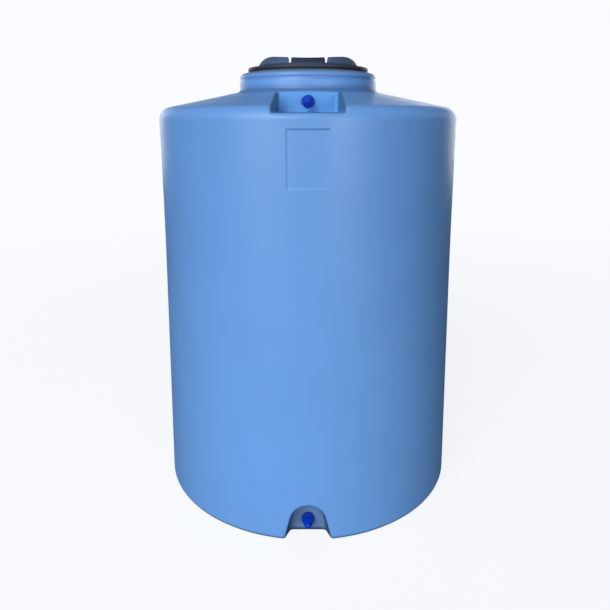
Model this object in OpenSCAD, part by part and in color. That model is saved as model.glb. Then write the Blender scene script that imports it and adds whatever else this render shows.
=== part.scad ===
// Upright polyethylene water tank for livestock watering, about 500 litres.
// Millimetres. +Z is up, the tank stands on z = 0 on its own axis, and its ports face -Y.

/* [Tank body] */
// Radius of the straight wall
body_r = 395; // [380:1:410]
// Wall thickness of the moulded shell
wall = 5; // [4:0.5:6]
// Radius of the edge round the base
base_edge_r = 12; // [8:1:20]
// Height at which the wall starts to widen
flare_z = 560; // [450:10:650]
// How much wider the shoulder is than the straight wall
flare = 5; // [2:0.5:7]
// Height of the shoulder's widest line
shoulder_z = 994; // [980:1:1000]
// Radius of the shoulder's edge
shoulder_edge_r = 32; // [26:1:36]
// Slope of the top, in degrees
top_slope = 12.3; // [11:0.1:13]

/* [Neck] */
// Outer radius of the collar
collar_r = 186; // [180:1:190]
// Height of the land that the seal rests on
land_z = 1113; // [1110:1:1116]
// Radius of the round between the top and the collar
collar_root_r = 20; // [14:1:24]
// Radius of the bead at the collar's upper edge
bead_r = 10; // [8:1:12]
// Depth of the threaded lip below the land
lip_depth = 36; // [34:1:40]

/* [Lid thread] */
// Radius of the neck's bore, at the root of its thread
bore_r = 151; // [149:0.5:153]
// Axial distance between turns
lid_pitch = 12; // [11:0.5:12]
// Turns of thread in the neck
neck_turns = 1.75; // [1:0.25:1.75]
// Turns of thread on the lid
lid_turns = 1.25; // [1:0.25:1.25]

/* [Lid] */
// Radius of the lid's flange
flange_r = 162.5; // [160:0.5:164]
// Thickness of the lid's flange
flange_t = 9; // [8:0.5:10]
// Thickness of the flat seal
seal_t = 3; // [2:0.5:4]
// Depth of the lid's skirt below its flange
skirt_depth = 32; // [30:1:32]
// Height of the grip crown above the flange's underside
crown_h = 37; // [34:1:40]
// Height of the crown over the middle of the lid
crown_mid_h = 27.5; // [24:0.5:30]
// Distance of each slot from the middle of the lid
slot_x = 46; // [42:1:50]

/* [Ports] */
// Radius of the port's bore, the major radius of a G 3/4 thread
port_r = 13.2; // [13:0.05:13.4]
// Height of the upper port
inlet_z = 1032; // [1030:1:1034]
// Height of the outlet
outlet_z = 34; // [32:1:36]
// Radius of a plug's flange
plug_flange_r = 15.5; // [15:0.5:17]
// How far a plug stands out of the wall
plug_reach = 35; // [30:1:36]

/* [Front pocket and notch] */
// Distance from the axis to the pocket's back wall
pocket_back = 208; // [206:1:215]
// Half width of the pocket at the front
pocket_half_w = 80; // [70:1:85]
// Half width of the pocket at its back wall
pocket_back_half_w = 74; // [65:1:76]
// Height of the pocket's floor
pocket_floor_z = 1004; // [1002:1:1006]
// Distance from the axis to the notch's back wall
notch_back = 354; // [350:1:358]

/* [Rating panel] */
// Width of the sunk panel
panel_w = 95; // [80:1:110]
// Height of the panel's lower edge
panel_low_z = 840; // [830:1:850]
// Height of the panel's upper edge
panel_high_z = 970; // [950:1:975]
// Depth of the panel
panel_depth = 1.5; // [1:0.25:2]

/* [Hidden] */
$fn = 96;
far = 500;                 // past every face that a cut has to leave through
arc_steps = 8;
flare_steps = 6;

shoulder_r = body_r + flare;
lid_z = land_z + seal_t;   // underside of the lid's flange
lip_r = bore_r + wall;
lip_z = land_z - lip_depth;

function arc(c, r, a0, a1, n = arc_steps) =
    [for (i = [0 : n]) let (a = a0 + (a1 - a0) * i / n) [c[0] + r * cos(a), c[1] + r * sin(a)]];

// The sloping top is tangent to the shoulder's edge, and root_c is the centre of the round at the collar.
function top_z(r) = shoulder_z + shoulder_edge_r / cos(top_slope)
    + (shoulder_r - shoulder_edge_r - r) * tan(top_slope);
root_c = [collar_r + collar_root_r, top_z(collar_r + collar_root_r) + collar_root_r / cos(top_slope)];
bead_c = [collar_r - bead_r, land_z - 14];
bead_end = 75;             // where the bead meets the sloping land, in degrees
seat_r = flange_r + 0.5;

// ---- Tank shell ----

// The body's outline from the axis at the base up to the neck's land, sunk by t into the wall.
function body_outline(t) = concat(
    [[0, t]],
    arc([body_r - base_edge_r, base_edge_r], base_edge_r - t, -90, 0),
    [for (i = [0 : flare_steps]) let (k = i / flare_steps)
        [body_r - t + flare * k * k, flare_z + (shoulder_z - flare_z) * k]],
    arc([shoulder_r - shoulder_edge_r, shoulder_z], shoulder_edge_r - t, 6, 90 - top_slope),
    arc(root_c, collar_root_r + t, 270 - top_slope, 180),
    [[collar_r - t - 0.7, (root_c[1] + bead_c[1]) / 2]],
    arc(bead_c, bead_r - t, 0, bead_end));

module body_solid() {
    rotate_extrude()
        polygon(concat(body_outline(0), [[seat_r, land_z], [0, land_z]]));
}

// The water space, with the hollow behind the threaded lip and the bore through the neck.
module cavity_solid() {
    rotate_extrude()
        polygon(concat(body_outline(wall),
                       [[lip_r, land_z - wall], [lip_r, lip_z], [bore_r, lip_z], [bore_r, land_z + 1],
                        [0, land_z + 1]]));
}

// The pocket for the upper port, open at the front and the top, grown by g.
module pocket(g) {
    translate([0, 0, pocket_floor_z - g])
        linear_extrude(far)
            polygon([[-pocket_half_w - g, -body_r], [-pocket_half_w - g, -far], [pocket_half_w + g, -far],
                     [pocket_half_w + g, -body_r], [pocket_back_half_w + g, g - pocket_back],
                     [-pocket_back_half_w - g, g - pocket_back]]);
}

// One end of the notch: an arch of radius r about [0, h], with its feet foot from the middle.
module arch_plate(y, r, h, foot) {
    translate([0, y, 0])
        rotate([90, 0, 0])
            linear_extrude(0.01)
                polygon(concat([[-foot, -base_edge_r], [foot, -base_edge_r], [foot, 0]],
                               arc([0, h], r, 15, 165, 12), [[-foot, 0]]));
}

// The notch over the outlet, open at the front and below, grown by g.
module notch(g) {
    hull() {
        arch_plate(-body_r - 20, 49 + g, 50, 68 + g);
        arch_plate(g - notch_back, 34 + g, 46, 42 + g);
    }
}

// Carries what it holds from a port's own frame, +Z out of the wall, to its place in the front.
module at_port(back, z) {
    translate([0, -back, z]) rotate([90, 0, 0]) children();
}
module at_inlet() { at_port(pocket_back, inlet_z) children(); }
module at_outlet() { at_port(notch_back, outlet_z) children(); }

insert_len = 20;
boss_r = 25;

module port_boss() {
    translate([0, 0, -insert_len]) cylinder(r = boss_r, h = insert_len - wall / 2);
}

// What the brass insert takes up in the wall. Two ribs hold it, and its necked front hides under the plug.
module insert_envelope() {
    body = 17;
    rib = 20;
    front = plug_flange_r - 0.7;
    rotate_extrude()
        polygon([[0, -insert_len - 0.001], [body, -insert_len - 0.001], [body, -16], [rib, -15], [rib, -12],
                 [body, -11], [body, -8], [rib, -7], [rib, -4], [body, -3], [front, -2.5], [front, 0.001],
                 [0, 0.001]]);
}

module panel_cut() {
    depth_r = body_r + flare * pow((panel_low_z - flare_z) / (shoulder_z - flare_z), 2) - panel_depth;
    depth_top_r = body_r + flare * pow((panel_high_z - flare_z) / (shoulder_z - flare_z), 2) - panel_depth;
    difference() {
        translate([-panel_w / 2, -far, panel_low_z])
            cube([panel_w, far, panel_high_z - panel_low_z]);
        translate([0, 0, panel_low_z - 0.5])
            cylinder(r1 = depth_r, r2 = depth_top_r, h = panel_high_z - panel_low_z + 1);
    }
}

// A ridge that climbs as a right-hand screw. root is a radius inside the wall that it grows from.
module ridge(root, crest, z0, turns, base_w, crest_w) {
    steps = round(turns * 64);
    fade = 8;              // steps over which each end dies into the wall
    function at(a, r, z) = [r * cos(a), r * sin(a), z];
    pts = [for (i = [0 : steps])
        let (a = 360 * turns * i / steps, z = z0 + lid_pitch * a / 360,
             k = min(1, i / fade, (steps - i) / fade), c = root + (crest - root) * (0.15 + 0.85 * k))
        each [at(a, root, z - base_w / 2), at(a, c, z - crest_w / 2), at(a, c, z + crest_w / 2),
              at(a, root, z + base_w / 2)]];
    turn = crest > root ? 1 : -1;
    function face(f) = turn > 0 ? f : [for (i = [len(f) - 1 : -1 : 0]) f[i]];
    sides = [for (i = [0 : steps - 1], j = [0 : 3])
        let (a = 4 * i + j, b = 4 * i + (j + 1) % 4)
        each [face([a, b, b + 4]), face([a, b + 4, a + 4])]];
    ends = [face([3, 2, 1, 0]), face([for (j = [0 : 3]) 4 * steps + j])];
    polyhedron(points = pts, faces = concat(sides, ends), convexity = 6);
}

neck_crest_r = bore_r - 3;
neck_thread_z = lip_z + 6;
ridge_base = 7.4;          // measured 1 mm inside the wall
ridge_crest = 3.4;

module tank_shell() {
    color([0.36, 0.56, 0.83]) {
        difference() {
            union() {
                difference() {
                    body_solid();
                    pocket(0);
                    notch(0);
                    panel_cut();
                    difference() {
                        cavity_solid();
                        pocket(wall);
                        notch(wall);
                    }
                }
                at_inlet() port_boss();
                at_outlet() port_boss();
            }
            at_inlet() insert_envelope();
            at_outlet() insert_envelope();
        }
        ridge(bore_r + 1, neck_crest_r, neck_thread_z, neck_turns, ridge_base, ridge_crest);
    }
}

// ---- Lid, its seal and its vent ----

skirt_r = neck_crest_r - 0.7;
lid_crest_r = bore_r - 0.7;
skirt_t = 4;
skin_t = 4;
step_h = 14;               // top of the lid's raised disc
crown_foot_r = 135;
crown_side_r = 60;         // radius of the crown's rounded side
crown_inner_r = 78;
vent_r = 8;
stub_r = 11;               // the tube that the vent's screen and cap sit on
stub_h = 7;
screen_t = 0.8;

// A solid of the crown, shrunk by s on every side and reaching down to z = low.
module crown(s, low) {
    c = [crown_foot_r - crown_side_r * cos(31), step_h - crown_side_r * sin(31)];
    trough_r = 684;        // the top is hollowed along Y, lower in the middle than at the sides
    difference() {
        rotate_extrude()
            polygon(concat([[crown_inner_r + s, low], [crown_foot_r - s, low]],
                           arc(c, crown_side_r - s, 31, 62),
                           [[108, crown_h - s], [crown_inner_r + 4 + s, crown_h - s]]));
        translate([0, 0, crown_mid_h + trough_r])
            rotate([90, 0, 0])
                cylinder(r = trough_r + s, h = far, center = true);
        for (side = [-1, 1])
            translate([side * slot_x, 0, 0])
                rotate([90, 0, 0])
                    linear_extrude(far, center = true)
                        polygon([[-2.5 - s, low - 1], [2.5 + s, low - 1], [2.5 + s, step_h],
                                 [4.5 + s, crown_h], [-4.5 - s, crown_h], [-2.5 - s, step_h]]);
    }
}

module lid_base() {
    rotate_extrude()
        polygon([[vent_r, step_h - skin_t], [131, step_h - skin_t], [132.5, flange_t - skin_t],
                 [skirt_r - skirt_t, flange_t - skin_t], [skirt_r - skirt_t, -skirt_depth],
                 [skirt_r - 1, -skirt_depth], [skirt_r, 1 - skirt_depth], [skirt_r, 0], [flange_r, 0],
                 [flange_r, flange_t - 1.5], [flange_r - 1.5, flange_t], [137.5, flange_t], [136, step_h],
                 [stub_r, step_h], [stub_r, step_h + stub_h], [vent_r, step_h + stub_h]]);
}

module lid() {
    color([0.07, 0.09, 0.13])
        translate([0, 0, lid_z]) {
            difference() {
                union() {
                    lid_base();
                    crown(0, step_h - skin_t / 2);
                }
                crown(3.5, step_h - skin_t - 1);
            }
            // One and a quarter turns, half a pitch from the neck's, so that the two threads interleave.
            rotate(-90)
                ridge(skirt_r - 1, lid_crest_r, neck_thread_z - lid_z + lid_pitch * 0.3,
                      lid_turns, ridge_base, ridge_crest);
        }
}

module lid_seal() {
    color([0.05, 0.05, 0.05])
        translate([0, 0, land_z])
            difference() {
                cylinder(r = flange_r - 1, h = seal_t);
                translate([0, 0, -1]) cylinder(r = bore_r + 1, h = seal_t + 2);
            }
}

module vent_screen() {
    color([0.7, 0.7, 0.7])
        translate([0, 0, lid_z + step_h + stub_h])
            difference() {
                cylinder(r = stub_r, h = screen_t);
                for (x = [-6 : 2 : 6], y = [-6 : 2 : 6])
                    if (norm([x, y]) < 7)
                        translate([x, y, -1]) cylinder(r = 0.6, h = 3);
            }
}

module vent_cap() {
    cap_r = 17;
    low = 2;               // gap under the cap's rim, where the air goes in
    seat = stub_h - low + screen_t;
    roof = seat + 1.2;
    color([0.07, 0.09, 0.13])
        translate([0, 0, lid_z + step_h + low]) {
            difference() {
                cylinder(r = cap_r, h = roof + 2);
                translate([0, 0, -1]) cylinder(r = cap_r - 2, h = roof + 1);
            }
            // Three ribs stand on the screen's rim, locate on the stub and leave the air a way between them.
            for (a = [30 : 120 : 270])
                rotate([90, 0, a])
                    linear_extrude(3, center = true)
                        polygon([[stub_r + 0.1, 0], [cap_r - 1.5, 0], [cap_r - 1.5, roof + 0.5],
                                 [9, roof + 0.5], [9, seat], [stub_r + 0.1, seat]]);
        }
}

// ---- Ports ----

module port_insert() {
    color([0.72, 0.55, 0.27])
        difference() {
            intersection() {
                insert_envelope();
                translate([0, 0, -insert_len]) cylinder(r = boss_r, h = insert_len);
            }
            translate([0, 0, -insert_len - 1]) cylinder(r = port_r, h = insert_len + 2);
        }
}

plug_seal_t = 2;

module plug_seal() {
    color([0.05, 0.05, 0.05])
        difference() {
            cylinder(r = plug_flange_r - 0.5, h = plug_seal_t);
            translate([0, 0, -1]) cylinder(r = port_r + 0.15, h = plug_seal_t + 2);
        }
}

// A hollow threaded shank, a flange and a tapered grip with six shallow flutes.
module plug() {
    shank_r = port_r - 0.08;
    shank_len = 14;
    grip_z = plug_seal_t + 4;
    tip_r = 6.5;
    color([0.02, 0.14, 0.66])
        difference() {
            rotate_extrude()
                polygon(concat(
                    [[0, 0], [10, -1], [10, -shank_len], [shank_r - 1, -shank_len], [shank_r, 1 - shank_len],
                     [shank_r, plug_seal_t], [plug_flange_r, plug_seal_t], [plug_flange_r, grip_z - 1],
                     [plug_flange_r - 1, grip_z], [13.4, grip_z + 0.6]],
                    arc([0, plug_reach - tip_r], tip_r, 15, 90)));
            for (a = [0 : 60 : 300])
                rotate(a)
                    translate([17, 0, grip_z + 3])
                        rotate([0, -14, 0])
                            cylinder(r = 4.5, h = 2 * plug_reach);
        }
}

tank_shell();
lid();
lid_seal();
vent_cap();
vent_screen();
at_inlet() port_insert();  // inlet_insert
at_inlet() plug_seal();  // inlet_plug_seal
at_inlet() plug();  // inlet_plug
at_outlet() port_insert();  // outlet_insert
at_outlet() plug_seal();  // outlet_plug_seal
at_outlet() plug();  // outlet_plug
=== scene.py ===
"""Looks of an upright polyethylene water tank for livestock: a soft rotomoulded shell, a slotted screw lid,
two hand plugs, their seals and inserts. Metres throughout, in the frame of the CAD. The front faces -Y."""
from math import asin, cos, pi, radians, sin, tan

import bpy
import numpy as np
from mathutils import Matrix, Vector


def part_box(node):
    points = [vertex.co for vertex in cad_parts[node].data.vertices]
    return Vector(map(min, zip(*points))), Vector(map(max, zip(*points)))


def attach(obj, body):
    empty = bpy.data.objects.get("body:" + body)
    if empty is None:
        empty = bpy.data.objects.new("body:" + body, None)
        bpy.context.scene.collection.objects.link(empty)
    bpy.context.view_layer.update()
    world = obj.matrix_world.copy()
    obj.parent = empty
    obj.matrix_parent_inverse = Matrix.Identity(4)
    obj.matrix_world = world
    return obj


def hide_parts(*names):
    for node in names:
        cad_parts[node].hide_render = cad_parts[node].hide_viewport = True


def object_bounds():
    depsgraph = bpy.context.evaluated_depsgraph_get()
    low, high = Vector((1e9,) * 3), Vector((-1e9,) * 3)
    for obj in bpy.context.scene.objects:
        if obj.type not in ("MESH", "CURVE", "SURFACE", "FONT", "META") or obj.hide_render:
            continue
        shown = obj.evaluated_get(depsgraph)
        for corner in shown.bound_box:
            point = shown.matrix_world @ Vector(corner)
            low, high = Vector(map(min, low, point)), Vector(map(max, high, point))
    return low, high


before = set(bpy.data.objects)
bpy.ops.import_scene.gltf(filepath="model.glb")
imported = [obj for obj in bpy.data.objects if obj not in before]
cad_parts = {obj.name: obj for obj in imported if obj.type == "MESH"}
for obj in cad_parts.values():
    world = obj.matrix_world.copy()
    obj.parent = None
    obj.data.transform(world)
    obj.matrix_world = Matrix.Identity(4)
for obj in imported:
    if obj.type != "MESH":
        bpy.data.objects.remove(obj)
cad_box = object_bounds()

MM = 0.001

# ---- Sizes, from the frame ----

shell_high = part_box("tank_shell")[1]
lid_low, lid_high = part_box("lid")
seal_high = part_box("lid_seal")[1]

SHOULDER_R = shell_high.x
LAND_Z = shell_high.z
LID_Z = seal_high.z                  # underside of the lid's flange
FLANGE_R = lid_high.x
CROWN_H = lid_high.z - LID_Z
SKIRT_DEPTH = LID_Z - lid_low.z


def port(name):
    """Where a port's brass insert meets the wall, and the height of its axis."""
    low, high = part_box(name + "_insert")
    return low.y, (low.z + high.z) / 2


INLET_Y, INLET_Z = port("inlet")
OUTLET_Y, OUTLET_Z = port("outlet")

# ---- Sizes of the moulding ----
# Walls, heights and widths are the CAD's. Rounded edges, the waist and the panel's depth follow the photo.

FLARE = 5 * MM
BODY_R = SHOULDER_R - FLARE
WALL = 5 * MM
FLARE_Z = 0.560
SHOULDER_Z = 0.994
SHOULDER_EDGE = 26 * MM
BASE_EDGE = 12 * MM
TOP_SLOPE = radians(12.3)
COLLAR_R = 186 * MM
COLLAR_ROOT = 8 * MM
BEAD = 10 * MM
SEAT_SLOPE = radians(15.5)           # of the collar's top, from the lid's flange out to the bead
WAIST_Z = LAND_Z - 20 * MM           # the shallow groove between the bead and the collar's foot
WAIST_DEPTH = 2.2 * MM
WAIST_SPREAD = 4.5 * MM
BORE_R = 151 * MM
BORE_DEPTH = 60 * MM                 # of the cut through the collar's top
LIP_DEPTH = 36 * MM                  # of the neck's inner wall, which carries the thread
BOSS_R = 25 * MM
BOSS_LEN = 17.5 * MM
POCKET_FLOOR_Z = 1.004
POCKET_HALF_W = 80 * MM              # at the front, where it is widest
POCKET_BACK_HALF_W = 74 * MM
POCKET_CORNER = 9 * MM
POCKET_EDGE = (10 * MM, 3.5 * MM)    # radius of its outer edge, at the floor and from POCKET_EDGE_RISE up
POCKET_EDGE_RISE = 14 * MM
NOTCH_BACK = (34 * MM, 46 * MM, 42 * MM)     # the arch's radius, its centre's height, half the width below
NOTCH_FRONT = (49 * MM, 50 * MM, 68 * MM)
NOTCH_FRONT_Y = -BODY_R - 20 * MM    # clear of the body
NOTCH_SPLAY = radians(21)            # about how far its sides turn outwards
PANEL_HALF_W = 47.5 * MM
PANEL_LOW_Z = 0.840
PANEL_HIGH_Z = 0.970
PANEL_DEPTH = 2.4 * MM
PANEL_DRAFT = 1.3                    # how far its walls lean inwards for each unit of depth
INSERT_R = 17 * MM
INSERT_FRONT_R = 14.8 * MM           # the brass is necked at the wall's face, behind the plug
INSERT_FRONT_T = 2.7 * MM
LID_PITCH = 12 * MM

# ---- Distance fields ----


def fillet_max(a, b, r):
    """What two solids share, with the edge between them rounded to radius r."""
    return np.minimum(np.maximum(a, b), -r) + np.hypot(np.maximum(a + r, 0), np.maximum(b + r, 0))


def fillet_min(a, b, r):
    """Two solids joined, with the corner between them filled to radius r."""
    return -fillet_max(-a, -b, r)


def wall_radius(z):
    """The body's radius, which flares towards the shoulder."""
    k = np.clip((z - FLARE_Z) / (SHOULDER_Z - FLARE_Z), 0, 1)
    return BODY_R + FLARE * k * k


def body_field(r, z):
    """The tank's round body and collar, solid."""
    top_z = SHOULDER_Z + SHOULDER_EDGE / cos(TOP_SLOPE) + (SHOULDER_R - SHOULDER_EDGE - r) * tan(TOP_SLOPE)
    body = fillet_max(r - wall_radius(z), (z - top_z) * cos(TOP_SLOPE), SHOULDER_EDGE)
    body = fillet_max(body, -z, BASE_EDGE)

    waist = WAIST_DEPTH * np.exp(-((z - WAIST_Z) / WAIST_SPREAD) ** 2)
    seat_r = FLANGE_R + 0.5 * MM
    slope = (z - LAND_Z) * cos(SEAT_SLOPE) + (r - seat_r) * sin(SEAT_SLOPE)
    collar = fillet_max(r - COLLAR_R + waist, slope, BEAD)
    collar = fillet_max(collar, z - LAND_Z, 1 * MM)
    collar = np.maximum(collar, SHOULDER_Z - z)
    return fillet_min(body, collar, COLLAR_ROOT)


def pocket_field(x, y, z):
    """What the shoulder pocket takes away."""
    length = BODY_R + INLET_Y
    draft = (POCKET_HALF_W - POCKET_BACK_HALF_W) / length
    half_w = POCKET_BACK_HALF_W + draft * (INLET_Y - y)
    floor_and_back = fillet_max(POCKET_FLOOR_Z - z, y - INLET_Y, POCKET_CORNER)
    return fillet_max(floor_and_back, np.abs(x) - half_w, POCKET_CORNER)


def notch_field(x, y, z):
    """What the arched notch in the foot takes away. It narrows as it goes in."""
    t = (OUTLET_Y - y) / (OUTLET_Y - NOTCH_FRONT_Y)
    r, h, foot = (back + (front - back) * t for back, front in zip(NOTCH_BACK, NOTCH_FRONT))
    x = np.abs(x)
    tangent = np.arccos(np.clip(r / np.hypot(foot, h), -1, 1)) - np.arctan2(h, foot)
    arch = np.hypot(x, z - h) - r
    side = (x - foot) * np.cos(tangent) + z * np.sin(tangent)
    opening = np.where(np.arctan2(z - h, x) > tangent, arch, side)
    return fillet_max(opening * cos(NOTCH_SPLAY), y - OUTLET_Y, 6 * MM)


def panel_field(x, y, z, r):
    """What the sunk panel takes away."""
    across = np.abs(x) - PANEL_HALF_W
    up = np.abs(z - (PANEL_LOW_Z + PANEL_HIGH_Z) / 2) - (PANEL_HIGH_Z - PANEL_LOW_Z) / 2
    plate = fillet_max(across, up, 2 * MM)
    depth = np.where(y < 0, wall_radius(z) - r, 1)
    leaning = (plate + PANEL_DRAFT * depth) / np.hypot(1, PANEL_DRAFT)
    return fillet_max(leaning, depth - PANEL_DEPTH, 0.6 * MM)


def shell_field(p):
    """The moulded shell: the outer form, hollowed by the wall, with its lip, bosses and port holes."""
    x, y, z = p[..., 0], p[..., 1], p[..., 2]
    r = np.hypot(x, y)
    outer = body_field(r, z)
    pocket_edge = np.interp(z, (POCKET_FLOOR_Z, POCKET_FLOOR_Z + POCKET_EDGE_RISE), POCKET_EDGE)
    outer = fillet_max(outer, -pocket_field(x, y, z), pocket_edge)
    outer = fillet_max(outer, -notch_field(x, y, z), 5 * MM)
    outer = fillet_max(outer, -panel_field(x, y, z, r), 0.6 * MM)
    shell = np.maximum(outer, -(outer + WALL))

    lip_middle = LAND_Z - LIP_DEPTH / 2 - 1 * MM
    lip = np.maximum(np.abs(r - BORE_R - WALL / 2) - WALL / 2, np.abs(z - lip_middle) - LIP_DEPTH / 2)
    shell = fillet_min(shell, lip, 3 * MM)
    shell = fillet_max(shell, -np.maximum(r - BORE_R, LAND_Z - BORE_DEPTH - z), 1 * MM)

    for wall_y, port_z in ((INLET_Y, INLET_Z), (OUTLET_Y, OUTLET_Z)):
        off = np.hypot(x, z - port_z)
        middle = wall_y + WALL / 2 + BOSS_LEN / 2
        boss = np.maximum(off - BOSS_R, np.abs(y - middle) - BOSS_LEN / 2)
        shell = fillet_min(shell, boss, 3 * MM)
        hole_r = np.where(y - wall_y > INSERT_FRONT_T, INSERT_R, INSERT_FRONT_R)
        hole = np.maximum(off - hole_r, np.abs(y - middle) - 2 * BOSS_LEN)
        shell = fillet_max(shell, -hole, 0.5 * MM)
    return shell


# ---- The lid's sizes and fields, with heights up from the underside of its flange ----

CROWN_FOOT_R = 135 * MM
CROWN_SIDE_R = 42 * MM               # of the arc on which its side rises
CROWN_SIDE_ANGLE = radians(22)       # where that arc starts, up from the level
CROWN_INNER_R = 78 * MM
CROWN_INNER_LEAN = 0.15
CROWN_MID_H = 27.5 * MM
TROUGH_R = 0.52                      # of the hollow along its top
STEP_R = 136.5 * MM
STEP_H = 14 * MM
FLANGE_T = 9 * MM
SLOT_X = 46 * MM
SLOT_HALF_W = (2.5 * MM, 4.5 * MM)   # at the step and at the crown's top
LID_SKIN = 4 * MM
SKIRT_R = 147.3 * MM
SKIRT_T = 4 * MM
STUB_R = 11 * MM
STUB_H = 7 * MM
VENT_R = 8 * MM


def crown_field(x, r, z):
    """The raised ring of the lid, hollowed along Y and cut by two slots."""
    side_r = CROWN_FOOT_R - CROWN_SIDE_R * cos(CROWN_SIDE_ANGLE)
    side_z = STEP_H - CROWN_SIDE_R * sin(CROWN_SIDE_ANGLE)
    side = np.hypot(r - side_r, z - side_z) - CROWN_SIDE_R
    trough = z - CROWN_MID_H - TROUGH_R + np.sqrt(TROUGH_R ** 2 - x ** 2)
    roof = fillet_max(trough, z - CROWN_H, 2 * MM)
    inner = CROWN_INNER_R + CROWN_INNER_LEAN * (z - STEP_H) - r
    ring = fillet_max(fillet_max(side, roof, 2 * MM), inner, 2.5 * MM)
    slot = np.abs(np.abs(x) - SLOT_X) - np.interp(z, (STEP_H, CROWN_H), SLOT_HALF_W)
    return fillet_max(ring, -np.maximum(slot, STEP_H - z), 1.5 * MM)


def lid_field(p):
    """The lid: flange, step and crown with an even skin, the threaded skirt's wall and the vent's tube."""
    x, y, z = p[..., 0], p[..., 1], p[..., 2] - LID_Z
    r = np.hypot(x, y)
    flange = fillet_max(r - FLANGE_R, z - FLANGE_T, 2 * MM)
    step = fillet_max(r - STEP_R, z - STEP_H, 2 * MM)
    top = fillet_min(fillet_min(step, crown_field(x, r, z), 2 * MM), flange, 1.5 * MM)
    lid = fillet_max(top, -z, 1 * MM)
    hollow = fillet_max(top + LID_SKIN, r - SKIRT_R + SKIRT_T, 2 * MM)
    lid = np.maximum(lid, -hollow)
    skirt_wall = np.abs(r - SKIRT_R + SKIRT_T / 2) - SKIRT_T / 2
    skirt = np.maximum(skirt_wall, np.abs(z + SKIRT_DEPTH / 2 - 1 * MM) - SKIRT_DEPTH / 2 - 1 * MM)
    lid = fillet_min(lid, skirt, 1 * MM)
    stub_middle = STEP_H + STUB_H / 2 - LID_SKIN / 2
    stub = fillet_max(r - STUB_R, np.abs(z - stub_middle) - STUB_H / 2 - LID_SKIN / 2, 0.8 * MM)
    lid = fillet_min(lid, stub, 1.5 * MM)
    return fillet_max(lid, VENT_R - r, 0.5 * MM)


# ---- Meshes ----


def graded(*stops, end):
    """Grid lines to the end. Each stop is a place and the spacing from it to the next one."""
    lines = []
    places = [place for place, _ in stops]
    for (start, step), stop in zip(stops, places[1:] + [end]):
        count = max(1, round((stop - start) / step))
        lines += [start + (stop - start) * i / count for i in range(count)]
    return np.array(lines + [end])


def round_axis(c):
    """Cylinder coordinates (angle from the front, height, radius) to a point."""
    return np.stack([c[..., 2] * np.sin(c[..., 0]), -c[..., 2] * np.cos(c[..., 0]), c[..., 1]], -1)


def slope_of(field, p, step=0.1 * MM):
    """The way in which the field grows at each point, and how fast."""
    return np.stack([(field(p + d) - field(p - d)) / (2 * step) for d in np.eye(3) * step], -1)


def settle(field, p, most=1.5 * MM):
    """Moves each point along the field's slope towards the surface, but no further than most."""
    start = p.copy()
    for _ in range(5):
        g = slope_of(field, p)
        steepness = np.maximum((g * g).sum(-1), 0.2)     # kept well above 0, where two walls meet
        p = p - g * (field(p) / steepness)[..., None]
    gone = np.linalg.norm(p - start, axis=-1, keepdims=True)
    return start + (p - start) * np.minimum(1, most / np.maximum(gone, 1e-9))


CORNERS = [(i, j, k) for i in (0, 1) for j in (0, 1) for k in (0, 1)]


def crossing_points(values, cells, angles, heights, radii):
    """For each cell, the mean of the places where the surface crosses its edges."""
    full_circle = np.append(angles, angles[0] + 2 * pi)
    values_at, places = [], []
    for i, j, k in CORNERS:
        turn, level, ring = cells[:, 0] + i, cells[:, 1] + j, cells[:, 2] + k
        values_at.append(values[turn % len(angles), level, ring])
        places.append(np.stack([full_circle[turn], heights[level], radii[ring]], -1))
    where, count = np.zeros((len(cells), 3)), np.zeros(len(cells))
    for a in range(8):
        for b in range(a + 1, 8):
            if sum(abs(p - q) for p, q in zip(CORNERS[a], CORNERS[b])) == 1:
                cross = (values_at[a] < 0) != (values_at[b] < 0)
                share = np.where(cross, values_at[a] / np.where(cross, values_at[a] - values_at[b], 1), 0)
                where += cross[:, None] * (places[a] + share[:, None] * (places[b] - places[a]))
                count += cross
    return where / count[:, None]


def crossing_faces(inside, ids):
    """For each step of the grid that the surface crosses, a face between the four cells round it."""
    size = np.array(ids.shape)
    quads = []
    for axis in range(3):
        differ = inside != np.roll(inside, -1, axis)
        if axis:
            differ[(slice(None),) * axis + (-1,)] = False
        node = np.argwhere(differ)
        side_b, side_c = (axis + 1) % 3, (axis + 2) % 3
        corners = []
        for back_b, back_c in ((0, 0), (1, 0), (1, 1), (0, 1)):
            cell = node.copy()
            cell[:, side_b] -= back_b
            cell[:, side_c] -= back_c
            cell[:, 0] %= size[0]
            real = ((cell >= 0) & (cell < size)).all(1)
            cell = np.clip(cell, 0, size - 1)
            corners.append(np.where(real, ids[tuple(cell.T)], -1))
        quad = np.stack(corners, 1)
        backward = ~inside[tuple(node.T)]
        quad[backward] = quad[backward][:, ::-1]
        quads.append(quad[(quad >= 0).all(1)])
    return np.concatenate(quads).tolist()


def close_axis(points, faces, inside, ids):
    """A surface that crosses the axis is left with a round hole there, which a fan closes."""
    for level in range(ids.shape[1]):
        ring = ids[:, level, 0]
        if (ring >= 0).all():
            centre = len(points)
            points = np.vstack([points, points[ring].mean(0) * (0, 0, 1)])
            upward = inside[0, level, 0]
            for a, b in zip(ring, np.roll(ring, -1)):
                faces.append([a, b, centre] if upward else [b, a, centre])
    return points, faces


def surface_net(field, angles, heights, radii):
    """Points and faces of the surface where a field is zero, from a grid of angles, heights and radii."""
    values = field(round_axis(np.stack(np.meshgrid(angles, heights, radii, indexing="ij"), -1)))
    inside = values < 0
    total = sum(np.roll(inside, (-i, -j, -k), (0, 1, 2)).astype(np.int8) for i, j, k in CORNERS)
    crossed = ((total > 0) & (total < 8))[:, :-1, :-1]
    ids = np.full(crossed.shape, -1)
    ids[crossed] = np.arange(crossed.sum())
    points = crossing_points(values, np.argwhere(crossed), angles, heights, radii)
    points = settle(field, round_axis(points))
    return close_axis(points, crossing_faces(inside, ids), inside, ids)


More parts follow.
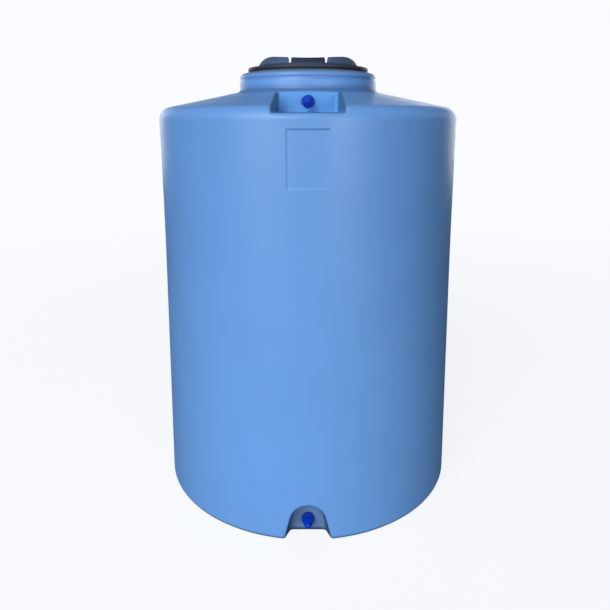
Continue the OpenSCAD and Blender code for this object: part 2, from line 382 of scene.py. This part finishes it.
def piece(name, points, faces, body, material, crease=40):
    """A mesh object that rides on a CAD body. Edges sharper than crease degrees stay crisp."""
    mesh = bpy.data.meshes.new(name)
    mesh.from_pydata(np.asarray(points).tolist(), [], faces)
    mesh.validate()
    mesh.polygons.foreach_set("use_smooth", [True] * len(mesh.polygons))
    mesh.set_sharp_from_angle(angle=radians(crease))
    mesh.materials.append(material)
    obj = bpy.data.objects.new(name, mesh)
    bpy.context.scene.collection.objects.link(obj)
    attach(obj, body)
    return obj


# ---- Materials ----

BACKDROP = (0.955, 0.972, 1.0)
FLOOR_FADE = (0.8, 5.0)                 # distances between which the floor goes from near to far
FLOOR_NEAR = (0.14, 0.14, 0.14)
FLOOR_FAR = (0, 0, 0)
FLOOR_GLOW_NEAR = (0.88, 0.88, 0.88)
FLOOR_GLOW_FAR = (1.0, 1.0, 1.0)
POCKET_SHADE = (0.68, 0.97, 1.0)         # painted shade on the pocket's back wall
CHEEK_SHADE = (0.30, 0.48, 0.42)         # painted shade on its two side walls
LIP_SHADOW = (0.35, 0.40, 0.45)           # a painted shadow line along its front edge
NOTCH_SHADE = (0.88, 0.66, 0.60)         # painted shade on the notch's back wall
ARCH_SHADOW = (0.28, 0.30, 0.34)          # painted shadow on the arch round it
FOOT_SHADE = 0.2                         # painted shade on the lowest edge of the body
COLLAR_SHADE_BANDS = (                        # painted shade in bands: how far below the land, and the tint there
    (61 * MM, (1, 1, 1)),
    (53 * MM, (0.62, 0.62, 0.64)),
    (49 * MM, (0.50, 0.49, 0.52)),
    (43 * MM, (0.72, 0.71, 0.73)),
    (35 * MM, (1, 1, 1)),
    (28 * MM, (1, 1, 1)),
    (20 * MM, (0.72, 0.70, 0.74)),
    (14 * MM, (1, 0.97, 0.95)),
    (9 * MM, (0.94, 0.84, 0.78)),
    (5 * MM, (0.86, 0.62, 0.52)),
)


class Nodes:
    """A material's node tree, with short ways to add what the materials here share."""

    def __init__(self, name, roughness, **sockets):
        self.material = bpy.data.materials.new(name)
        self.material.use_nodes = True
        self.tree = self.material.node_tree
        self.shader = self.tree.nodes["Principled BSDF"]
        self.place = self.add("ShaderNodeTexCoord").outputs["Object"]
        self.normal = None
        self.shader.inputs["Roughness"].default_value = roughness
        for socket, value in sockets.items():
            self.shader.inputs[socket.replace("_", " ")].default_value = value

    def add(self, kind, **values):
        node = self.tree.nodes.new(kind)
        for key, value in values.items():
            setattr(node, key, value)
        return node

    def link(self, a, b):
        self.tree.links.new(a, b)

    def stretched(self, scale):
        """The object's own coordinates, each multiplied by its scale."""
        mapping = self.add("ShaderNodeMapping")
        mapping.inputs["Scale"].default_value = scale
        self.link(self.place, mapping.inputs["Vector"])
        return mapping.outputs["Vector"]

    def noise(self, size, detail, stretch=None):
        """Noise whose grain is about size across."""
        node = self.add("ShaderNodeTexNoise")
        node.inputs["Scale"].default_value = 1 / size
        node.inputs["Detail"].default_value = detail
        self.link(self.stretched(stretch) if stretch else self.place, node.inputs["Vector"])
        return node.outputs["Fac"]

    def ramp(self, source, low, high, at=(0.35, 0.65)):
        """Colours or numbers from low to high as the source goes between the two places."""
        node = self.add("ShaderNodeValToRGB")
        for element, colour, place in zip(node.color_ramp.elements, (low, high), at):
            element.color = (*colour, 1) if isinstance(colour, tuple) else (colour, colour, colour, 1)
            element.position = place
        self.link(source, node.inputs["Fac"])
        return node.outputs["Color"]

    def mix(self, factor, a, b, blend="MIX"):
        """From a to b by the factor. Each may be a node's output, a colour or a number."""
        node = self.add("ShaderNodeMix", data_type="RGBA", blend_type=blend)
        for socket, value in (("Factor", factor), ("A", a), ("B", b)):
            target = [s for s in node.inputs if s.name == socket and s.enabled][0]
            if isinstance(value, bpy.types.NodeSocket):
                self.link(value, target)
            elif isinstance(value, tuple):
                target.default_value = (*value, 1)
            else:
                target.default_value = value
        return [s for s in node.outputs if s.enabled][0]

    def axis(self, name):
        """One of the object's own coordinates: X, Y or Z."""
        split = self.add("ShaderNodeSeparateXYZ")
        self.link(self.place, split.inputs["Vector"])
        return split.outputs[name]

    def radius(self):
        """How far a point is from the object's own Z axis."""
        node = self.add("ShaderNodeVectorMath", operation="LENGTH")
        self.link(self.stretched((1, 1, 0)), node.inputs[0])
        return node.outputs["Value"]

    def apart(self, source):
        """How far a number is from zero."""
        node = self.add("ShaderNodeMath", operation="ABSOLUTE")
        self.link(source, node.inputs[0])
        return node.outputs["Value"]

    def all_of(self, *masks):
        """The product of masks, which is 1 only where all of them are."""
        product = masks[0]
        for mask in masks[1:]:
            node = self.add("ShaderNodeMath", operation="MULTIPLY")
            self.link(product, node.inputs[0])
            self.link(mask, node.inputs[1])
            product = node.outputs["Value"]
        return product

    def between(self, source, low, high):
        """0 to 1 as the source goes from low to high."""
        node = self.add("ShaderNodeMapRange", interpolation_type="SMOOTHSTEP")
        node.inputs["From Min"].default_value = low
        node.inputs["From Max"].default_value = high
        self.link(source, node.inputs["Value"])
        return node.outputs["Result"]

    def front(self):
        """1 on the front half of the object."""
        return self.between(self.axis("Y"), 0, -0.1)

    def tint(self, mask, colour, tint):
        """The colour, multiplied by the tint where the mask is 1."""
        return self.mix(mask, colour, self.mix(1.0, colour, tint, "MULTIPLY"))

    def bands(self, source, stops):
        """Colours that change along the source. Each stop is a value and the colour there."""
        first, last = stops[0][0], stops[-1][0]
        scaled = self.add("ShaderNodeMapRange")
        scaled.inputs["From Min"].default_value = first
        scaled.inputs["From Max"].default_value = last
        self.link(source, scaled.inputs["Value"])
        node = self.add("ShaderNodeValToRGB")
        elements = node.color_ramp.elements
        for value, _ in stops[1:-1]:
            elements.new((value - first) / (last - first))
        for element, (_, colour) in zip(elements, stops):
            element.color = (*colour, 1)
        self.link(scaled.outputs["Result"], node.inputs["Fac"])
        return node.outputs["Color"]

    def colour(self, source):
        self.link(source, self.shader.inputs["Base Color"])

    def rough(self, source):
        self.link(source, self.shader.inputs["Roughness"])

    def bump(self, source, strength, distance):
        """Relief from the source, on top of any bump before it."""
        node = self.add("ShaderNodeBump")
        node.inputs["Strength"].default_value = strength
        node.inputs["Distance"].default_value = distance
        self.link(source, node.inputs["Height"])
        if self.normal is not None:
            self.link(self.normal, node.inputs["Normal"])
        self.normal = node.outputs["Normal"]
        self.link(self.normal, self.shader.inputs["Normal"])


def shade(colour, factor):
    return tuple(min(1, c * factor) for c in colour)


def collar_painted_shade(n, colour):
    """Painted shade: greyer on the collar's slope, and darker in its waist and at its root."""
    stops = [(LAND_Z - down, tint) for down, tint in COLLAR_SHADE_BANDS]
    return n.mix(1.0, colour, n.bands(n.axis("Z"), stops), "MULTIPLY")


def pocket_painted_shade(n, colour):
    """Painted shade: the pocket's walls are darker than the body, its cheeks most, with a painted shadow line
    along its front edge.
    """
    x, y, z = n.apart(n.axis("X")), n.axis("Y"), n.axis("Z")
    inside = n.all_of(n.between(x, POCKET_HALF_W + 2 * MM, POCKET_HALF_W - 1 * MM),
                      n.between(y, INLET_Y + 1.5 * MM, INLET_Y + 0.5 * MM),
                      n.between(z, POCKET_FLOOR_Z - 2 * MM, POCKET_FLOOR_Z + 4 * MM))
    cheek = n.between(x, POCKET_BACK_HALF_W - 4 * MM, POCKET_BACK_HALF_W + 1 * MM)
    # Painted shade on the pocket's walls, darkest on its cheeks.
    colour = n.tint(inside, colour, n.mix(cheek, POCKET_SHADE, CHEEK_SHADE))
    # A painted shadow line along the pocket's front edge.
    lip = n.all_of(n.between(x, POCKET_HALF_W + 1 * MM, POCKET_HALF_W - 3 * MM),
                   n.between(n.radius(), BODY_R - 16 * MM, BODY_R - 8 * MM),
                   n.front(),
                   n.between(z, POCKET_FLOOR_Z - 2.2 * MM, POCKET_FLOOR_Z - 0.6 * MM),
                   n.between(z, POCKET_FLOOR_Z + 3 * MM, POCKET_FLOOR_Z + 1 * MM))
    return n.tint(lip, colour, LIP_SHADOW)


def foot_painted_shade(n, colour):
    """Painted shade: the notch's walls are darker than the body, with a painted shadow round its arch, and so
    is the body's lowest edge.
    """
    z = n.axis("Z")
    inside = n.all_of(n.between(n.apart(n.axis("X")), 60 * MM, 50 * MM),
                      n.between(n.radius(), BODY_R - 0.8 * MM, BODY_R - 3 * MM),
                      n.front(),
                      n.between(z, 130 * MM, 120 * MM))
    # Painted shade on the notch's back wall, with a painted shadow round its arch.
    arch = n.between(n.axis("Y"), OUTLET_Y - 3 * MM, OUTLET_Y - 12 * MM)
    colour = n.tint(inside, colour, n.mix(arch, NOTCH_SHADE, ARCH_SHADOW))
    # Painted shade along the body's lowest edge.
    shaded_edge = n.ramp(n.between(z, 3 * MM, 13 * MM), FOOT_SHADE, 1.0, (0, 1))
    return n.mix(1.0, colour, shaded_edge, "MULTIPLY")


def shell_material():
    """Satin rotomoulded polyethylene: slightly uneven pigment, powder grain and a faint orange peel, with
    painted shade towards its top, in its pocket and notch, along its foot and in bands on its collar.
    """
    blue = (0.136, 0.338, 0.755)
    n = Nodes("rotomoulded_polyethylene", 0.42, Specular_IOR_Level=0.45, Subsurface_Weight=0.04,
              Subsurface_Scale=0.004)
    clouds = n.ramp(n.noise(0.16, 4), shade(blue, 1.042), shade(blue, 1.078))
    grain = n.ramp(n.noise(0.0011, 2), 0.955, 1.0, (0.3, 0.6))
    # Painted shade: darker towards the top.
    painted_shade_up = n.ramp(n.between(n.axis("Z"), 0, LAND_Z), 1.0, 0.88, (0, 1))
    colour = n.mix(1.0, n.mix(1.0, clouds, grain, "MULTIPLY"), painted_shade_up, "MULTIPLY")
    n.colour(collar_painted_shade(n, foot_painted_shade(n, pocket_painted_shade(n, colour))))
    n.rough(n.ramp(n.noise(0.035, 4), 0.38, 0.45))
    n.bump(n.noise(0.0045, 2), 0.08, 0.0006)
    n.bump(n.noise(0.0009, 2), 0.08, 0.0003)
    return n.material


def lid_material():
    """Finely textured plastic. Its tones are painted light and shade: a painted reflection makes the crown
    the palest part, painted shade darkens the rim and the bar between its slots, and a painted shadow darkens
    the flange's lowest edge.
    """
    # Painted tones of one plastic: a painted shadow at the flange's foot, painted shade on the rim and on the
    # bar between the slots, and a painted reflection on the crown.
    shaded_edge, shaded_rim = (0.005, 0.008, 0.018), (0.033, 0.047, 0.088)
    lit_crown, shaded_bar = (0.062, 0.108, 0.220), (0.013, 0.031, 0.078)
    n = Nodes("lid_polypropylene", 0.45, Specular_IOR_Level=0.3)
    height = n.axis("Z")
    flow = n.ramp(n.noise(0.03, 3, (1, 1, 3)), 0.8, 1.0)
    colour = n.mix(n.between(height, LID_Z + 1.5 * MM, LID_Z + 3 * MM), shaded_edge, shaded_rim)
    above_step = n.between(height, LID_Z + STEP_H - 1 * MM, LID_Z + STEP_H + 3 * MM)
    side = n.between(n.apart(n.axis("X")), SLOT_X - 2 * MM, SLOT_X + 2 * MM)
    colour = n.mix(above_step, colour, n.mix(side, shaded_bar, lit_crown))
    n.colour(n.mix(1.0, colour, flow, "MULTIPLY"))
    n.rough(n.ramp(n.noise(0.012, 4), 0.52, 0.66))
    n.bump(n.noise(0.0007, 2), 0.22, 0.0002)
    return n.material


def vent_material():
    """The vent cap's dark plastic."""
    tone = (0.020, 0.028, 0.046)
    n = Nodes("vent_polypropylene", 0.4, Specular_IOR_Level=0.5)
    n.colour(n.ramp(n.noise(0.006, 3), shade(tone, 0.8), shade(tone, 1.2)))
    n.rough(n.ramp(n.noise(0.004, 4), 0.35, 0.5))
    n.bump(n.noise(0.0006, 2), 0.22, 0.0002)
    return n.material


def plug_material():
    """Deep blue polypropylene, a little uneven in its colour and gloss."""
    blue = (0.001, 0.043, 0.50)
    n = Nodes("plug_polypropylene", 0.4, Specular_IOR_Level=0.2, Subsurface_Weight=0.05,
              Subsurface_Scale=0.002)
    n.colour(n.ramp(n.noise(0.006, 3), shade(blue, 0.85), shade(blue, 1.12)))
    n.rough(n.ramp(n.noise(0.003, 4), 0.34, 0.48))
    n.bump(n.noise(0.0006, 2), 0.12, 0.0001)
    return n.material


def rubber_material():
    """The lid seal's black rubber."""
    n = Nodes("seal_rubber", 0.7, Specular_IOR_Level=0.35)
    n.colour(n.ramp(n.noise(0.004, 4), (0.012, 0.012, 0.013), (0.028, 0.027, 0.026)))
    n.rough(n.ramp(n.noise(0.002, 3), 0.62, 0.82))
    n.bump(n.noise(0.0005, 2), 0.3, 0.0001)
    return n.material


def plug_seal_material():
    """The plugs' flat seals, in a rubber of their own dark blue."""
    tone = (0.003, 0.010, 0.075)
    n = Nodes("plug_seal_rubber", 0.6, Specular_IOR_Level=0.3)
    n.colour(n.ramp(n.noise(0.003, 4), shade(tone, 0.7), shade(tone, 1.3)))
    n.rough(n.ramp(n.noise(0.002, 3), 0.52, 0.70))
    n.bump(n.noise(0.0005, 2), 0.3, 0.0001)
    return n.material


def brass_material():
    """Turned brass, unevenly tarnished."""
    n = Nodes("turned_brass", 0.32, Metallic=1.0)
    tarnish = n.ramp(n.noise(0.004, 5), (0.42, 0.27, 0.09), (0.72, 0.52, 0.24))
    n.colour(tarnish)
    n.rough(n.ramp(n.noise(0.0015, 4), 0.25, 0.45))
    n.bump(n.noise(0.0006, 2, (1, 8, 1)), 0.25, 0.0001)
    return n.material


def steel_material():
    """The vent screen's bare steel."""
    n = Nodes("punched_steel", 0.35, Metallic=1.0)
    n.colour(n.ramp(n.noise(0.003, 4), (0.50, 0.50, 0.51), (0.68, 0.68, 0.69)))
    n.rough(n.ramp(n.noise(0.0012, 4, (6, 1, 1)), 0.28, 0.42))
    n.bump(n.noise(0.0004, 2, (6, 1, 1)), 0.2, 0.00005)
    return n.material


def floor_material():
    """A pale seamless floor. Its own glow is only for the camera, so it lights nothing."""
    n = Nodes("studio_floor", 0.9, Specular_IOR_Level=0)
    distance = n.add("ShaderNodeVectorMath", operation="LENGTH")
    n.link(n.place, distance.inputs[0])
    far = n.between(distance.outputs["Value"], *FLOOR_FADE)
    n.colour(n.mix(far, FLOOR_NEAR, FLOOR_FAR))
    glow = n.add("ShaderNodeMath", operation="MULTIPLY")
    n.link(n.add("ShaderNodeLightPath").outputs["Is Camera Ray"], glow.inputs[0])
    n.link(n.mix(far, FLOOR_GLOW_NEAR, FLOOR_GLOW_FAR), glow.inputs[1])
    n.link(glow.outputs["Value"], n.shader.inputs["Emission Strength"])
    n.shader.inputs["Emission Color"].default_value = (*BACKDROP, 1)
    return n.material


shell_plastic = shell_material()
lid_plastic = lid_material()
vent_plastic = vent_material()
plug_plastic = plug_material()
rubber = rubber_material()
blue_rubber = plug_seal_material()
brass = brass_material()
steel = steel_material()


def finish_node(node, material):
    """Gives a CAD node that stays visible its material."""
    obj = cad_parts[node]
    obj.data.materials.clear()
    obj.data.materials.append(material)


for node, material in (
    ("lid_seal", rubber),
    ("vent_cap", vent_plastic),
    ("vent_screen", steel),
    ("inlet_insert", brass),
    ("outlet_insert", brass),
    ("inlet_plug_seal", blue_rubber),
    ("outlet_plug_seal", blue_rubber),
):
    finish_node(node, material)

# ---- Shell ----


def front_angles():
    """Angles round the axis, fine at the front and finest along the panel's two sides."""
    fine, coarse = radians(0.4), radians(2.4)
    panel_edge, near = asin(PANEL_HALF_W / BODY_R), radians(1)
    half = graded((0, fine), (panel_edge - near, near / 8), (panel_edge + near, fine),
                  (radians(15), fine * 2), (radians(21), coarse / 2), (radians(25), coarse), end=pi)
    return np.concatenate([-half[:0:-1], half[:-1]])


def build_shell():
    """The spacing stays under the wall's thickness wherever the wall lies across the grid."""
    small, crisp, large = 2.5 * MM, 0.75 * MM, 8 * MM
    notch_top = NOTCH_FRONT[0] + NOTCH_FRONT[1]
    heights = graded((-4 * MM, 2 * MM), (8 * MM, 3 * MM), (notch_top + 16 * MM, large),
                     (notch_top + 41 * MM, 30 * MM), (PANEL_LOW_Z - 40 * MM, large),
                     (PANEL_LOW_Z - 2 * MM, crisp), (PANEL_LOW_Z + 4.75 * MM, large),
                     (PANEL_HIGH_Z - 4.75 * MM, crisp), (PANEL_HIGH_Z + 2 * MM, small), end=LAND_Z + 3 * MM)
    radii = graded((20 * MM, 20 * MM), (BORE_R - 5 * MM, small), (COLLAR_R + 4 * MM, 3.5 * MM),
                   (-OUTLET_Y - 9 * MM, small), end=SHOULDER_R + 5 * MM)
    points, faces = surface_net(shell_field, front_angles(), heights, radii)
    shell = piece("moulded_shell", points, faces, "tank", shell_plastic)
    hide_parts("tank_shell")


def build_lid():
    """The grid is finest at the skirt's foot, the flange, the crown's walls and its slots."""
    sectors = 360
    angles = np.linspace(-pi, pi, sectors, endpoint=False)
    heights = LID_Z + graded((-SKIRT_DEPTH - 2 * MM, 2 * MM), (-SKIRT_DEPTH + 2 * MM, 7 * MM),
                             (-2 * MM, 1.1 * MM), (STEP_H + 3 * MM, 1.5 * MM), end=CROWN_H + 2 * MM)
    radii = graded((VENT_R - 2 * MM, 1 * MM), (STUB_R + 3 * MM, 7 * MM), (CROWN_INNER_R - 8 * MM, 1.5 * MM),
                   (CROWN_INNER_R + 8 * MM, 2.4 * MM), (CROWN_FOOT_R - 9 * MM, 1.3 * MM),
                   (SKIRT_R + 4.7 * MM, 2 * MM), (FLANGE_R - 3 * MM, 0.8 * MM), end=FLANGE_R + 1.6 * MM)
    points, faces = surface_net(lid_field, angles, heights, radii)
    lid = piece("screw_lid", points, faces, "lid", lid_plastic)
    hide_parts("lid")


build_shell()
build_lid()

# ---- Threads ----


def ridge(name, root, crest, low_z, turns, start_angle, body, material):
    """One helical ridge, from a radius inside its wall out to its crest, dying away at both ends."""
    half_root, half_crest = 3.7 * MM, 1.7 * MM
    steps, end_steps = round(turns * 120), 14
    points, faces = [], []
    for i in range(steps + 1):
        angle = start_angle + 2 * pi * turns * i / steps
        z = low_z + LID_PITCH * turns * i / steps
        grown = min(1, i / end_steps, (steps - i) / end_steps)
        tip = root + (crest - root) * (0.15 + 0.85 * grown * grown * (3 - 2 * grown))
        soft = root + (tip - root) * 0.85
        section = ((root, -half_root), (soft, -half_crest - 0.5 * MM), (tip, -half_crest + 0.3 * MM),
                   (tip, half_crest - 0.3 * MM), (soft, half_crest + 0.5 * MM), (root, half_root))
        points += [(r * cos(angle), r * sin(angle), z + up) for r, up in section]
    n = len(section)
    for i in range(steps):
        for j in range(n):
            a, b = n * i + j, n * i + (j + 1) % n
            faces.append([a, a + n, b + n, b])
    faces += [list(range(n)), [n * steps + j for j in range(n)][::-1]]
    if crest < root:
        faces = [face[::-1] for face in faces]
    piece(name, points, faces, body, material, 60)


NECK_CREST_R = BORE_R - 3 * MM
LID_CREST_R = BORE_R - 0.7 * MM
NECK_THREAD_Z = LAND_Z - LIP_DEPTH + 6 * MM
ridge("neck_thread", BORE_R + 1 * MM, NECK_CREST_R, NECK_THREAD_Z, turns=1.75, start_angle=0,
      body="tank", material=shell_plastic)
# The lid's ridge runs 0.55 of a pitch above the neck's, between its turns.
ridge("lid_thread", SKIRT_R - 1 * MM, LID_CREST_R, NECK_THREAD_Z + 0.3 * LID_PITCH, turns=1.25,
      start_angle=-pi / 2, body="lid", material=lid_plastic)

# ---- Plugs ----

PLUG_REACH = 35 * MM
PLUG_SEAL_T = 2 * MM
PLUG_SHANK_R = 13.12 * MM
PLUG_SHANK_LEN = 14 * MM
PLUG_THREAD_DEPTH = 0.55 * MM
PORT_PITCH = 1.814 * MM
FLUTES = 6
FLUTE_DEPTH = 1.5 * MM
FLUTE_START = 8 * MM                 # out from the wall
FLUTE_RUN_OUT = 5 * MM


def plug_outline():
    """(radius, distance out of the wall) from inside the hollow shank, round its end and out to the tip."""
    flange_r, flange_t, flange_edge = 15.5 * MM, 4 * MM, 1.2 * MM
    tip_r, grip_r, hollow_r = 7.6 * MM, 14.4 * MM, 10 * MM
    face = PLUG_SEAL_T + flange_t
    chamfer = 1 * MM
    outline = [(0, 0), (hollow_r - 0.6 * MM, 0), (hollow_r, -0.6 * MM), (hollow_r, -PLUG_SHANK_LEN),
               (PLUG_SHANK_R - chamfer, -PLUG_SHANK_LEN)]
    thread_rows = 52
    thread_len = PLUG_SHANK_LEN + PLUG_SEAL_T - chamfer
    outline += [(PLUG_SHANK_R, -PLUG_SHANK_LEN + chamfer + thread_len * i / thread_rows)
                for i in range(thread_rows + 1)]
    outline += [(flange_r - 0.4 * MM, PLUG_SEAL_T), (flange_r, PLUG_SEAL_T + 0.4 * MM),
                (flange_r, face - flange_edge)]
    outline += [(flange_r - flange_edge * (1 - cos(a)), face - flange_edge * (1 - sin(a)))
                for a in (radians(15 * i) for i in range(1, 7))]
    grip_rows = 22
    base_w, top_angle = face + 0.6 * MM, radians(15)
    top = (tip_r * cos(top_angle), PLUG_REACH - tip_r + tip_r * sin(top_angle))
    swell = 0.9 * MM                     # how far the grip bulges beyond a plain cone
    for i in range(grip_rows + 1):
        share = i / grip_rows
        outline.append((grip_r + (top[0] - grip_r) * share + swell * sin(pi * share),
                        base_w + (top[1] - base_w) * share))
    outline += [(tip_r * cos(a), PLUG_REACH - tip_r + tip_r * sin(a))
                for a in (top_angle + (pi / 2 - top_angle) * i / 10 for i in range(1, 10))]
    return outline + [(0, PLUG_REACH)]


def plug_radius(r, w, angle):
    """The outline's radius, less the thread's groove round the shank and the flutes along the grip."""
    if abs(r - PLUG_SHANK_R) < 0.1 * MM and -13 * MM < w < PLUG_SEAL_T - 1.2 * MM:
        phase = (w / PORT_PITCH - angle / (2 * pi)) % 1
        return r - PLUG_THREAD_DEPTH * (1 - abs(2 * phase - 1))
    if w > FLUTE_START:
        rise = (w - FLUTE_START) / FLUTE_RUN_OUT
        fall = (PLUG_REACH - FLUTE_RUN_OUT / 2 - w) / FLUTE_RUN_OUT
        depth = FLUTE_DEPTH * max(0, min(1, rise, fall))
        return r - depth * max(0, cos(FLUTES * angle)) ** 0.7
    return r


def build_plug(name, wall_y, port_z):
    """A hand plug with a threaded shank, a thin flange and a tapered, fluted grip."""
    segments = 120
    outline = plug_outline()
    points, faces = [], []
    for r, w in outline[1:-1]:
        for j in range(segments):
            angle = 2 * pi * j / segments
            radius = plug_radius(r, w, angle)
            points.append((radius * cos(angle), wall_y - w, port_z + radius * sin(angle)))
    rows = len(outline) - 2
    for i in range(rows - 1):
        for j in range(segments):
            a, b = i * segments + j, i * segments + (j + 1) % segments
            faces.append([a, b, b + segments, a + segments])
    inner, tip = len(points), len(points) + 1
    points += [(0, wall_y - outline[0][1], port_z), (0, wall_y - PLUG_REACH, port_z)]
    last = (rows - 1) * segments
    for j in range(segments):
        faces.append([(j + 1) % segments, j, inner])
        faces.append([last + j, last + (j + 1) % segments, tip])
    moulding = piece(name + "_moulding", points, faces, name, plug_plastic, 50)
    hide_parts(name)


build_plug("inlet_plug", INLET_Y, INLET_Z)
build_plug("outlet_plug", OUTLET_Y, OUTLET_Z)

# ---- Studio ----

LIGHT_DISTANCE = 10.0
ROOM_LIGHT = 0.13


def build_floor():
    radius, sides = 40, 96
    mesh = bpy.data.meshes.new("floor")
    ring = [(radius * cos(2 * pi * i / sides), radius * sin(2 * pi * i / sides), 0) for i in range(sides)]
    mesh.from_pydata(ring, [], [list(range(sides))])
    mesh.materials.append(floor_material())
    floor = bpy.data.objects.new("floor", mesh)
    bpy.context.scene.collection.objects.link(floor)


def build_light(name, azimuth, elevation, size, power, gloss_only=False):
    """A soft box that faces the object. Azimuth 0 is in front of it, and 90 on the right of the photo."""
    a, e = radians(azimuth), radians(elevation)
    data = bpy.data.lights.new(name, "AREA")
    data.shape = "RECTANGLE"
    data.size = data.size_y = size
    data.energy = power
    light = bpy.data.objects.new(name, data)
    outward = Vector((sin(a) * cos(e), -cos(a) * cos(e), sin(e)))
    light.location = middle + outward * LIGHT_DISTANCE
    light.rotation_euler = outward.to_track_quat("Z", "Y").to_euler()
    light.visible_camera = False
    light.visible_diffuse = not gloss_only
    bpy.context.scene.collection.objects.link(light)


def build_world():
    """A pale backdrop for the camera, and a dim room for all other light."""
    world = bpy.data.worlds.new("studio")
    bpy.context.scene.world = world
    world.use_nodes = True
    tree = world.node_tree
    room = tree.nodes["Background"]
    room.inputs["Color"].default_value = (1, 1, 1, 1)
    room.inputs["Strength"].default_value = ROOM_LIGHT
    backdrop = tree.nodes.new("ShaderNodeBackground")
    backdrop.inputs["Color"].default_value = (*BACKDROP, 1)
    choose = tree.nodes.new("ShaderNodeMixShader")
    tree.links.new(tree.nodes.new("ShaderNodeLightPath").outputs["Is Camera Ray"], choose.inputs[0])
    tree.links.new(room.outputs[0], choose.inputs[1])
    tree.links.new(backdrop.outputs[0], choose.inputs[2])
    tree.links.new(choose.outputs[0], tree.nodes["World Output"].inputs["Surface"])


def build_camera():
    """The photo's view: a little below the shoulder, tipped down, with the lens shifted down."""
    distance, height, pitch = 4.153 * BODY_R, 2.498 * BODY_R, radians(9.04)
    data = bpy.data.cameras.new("camera")
    data.sensor_width = 36
    data.lens = 34.5
    data.shift_x = -0.005
    data.shift_y = -0.15
    camera = bpy.data.objects.new("camera", data)
    camera.location = (0, -distance, height)
    camera.rotation_euler = (pi / 2 - pitch, 0, 0)
    bpy.context.scene.collection.objects.link(camera)
    bpy.context.scene.camera = camera


middle = (cad_box[0] + cad_box[1]) / 2
bpy.context.scene.view_settings.view_transform = "Standard"
build_floor()
build_world()
build_light("key", -30, 5, 6.0, 480)
build_light("key_high", -29, 37, 5.0, 568)
build_light("fill", 25, 5, 3.0, 275)
build_light("back", 165, 8, 4.0, 200)
build_light("back_left", -145, 8, 4.0, 140)
build_light("sheen_right", 145, 3, 4.5, 210, gloss_only=True)
build_light("sheen_back", -172, 3, 4.5, 160, gloss_only=True)
build_camera()
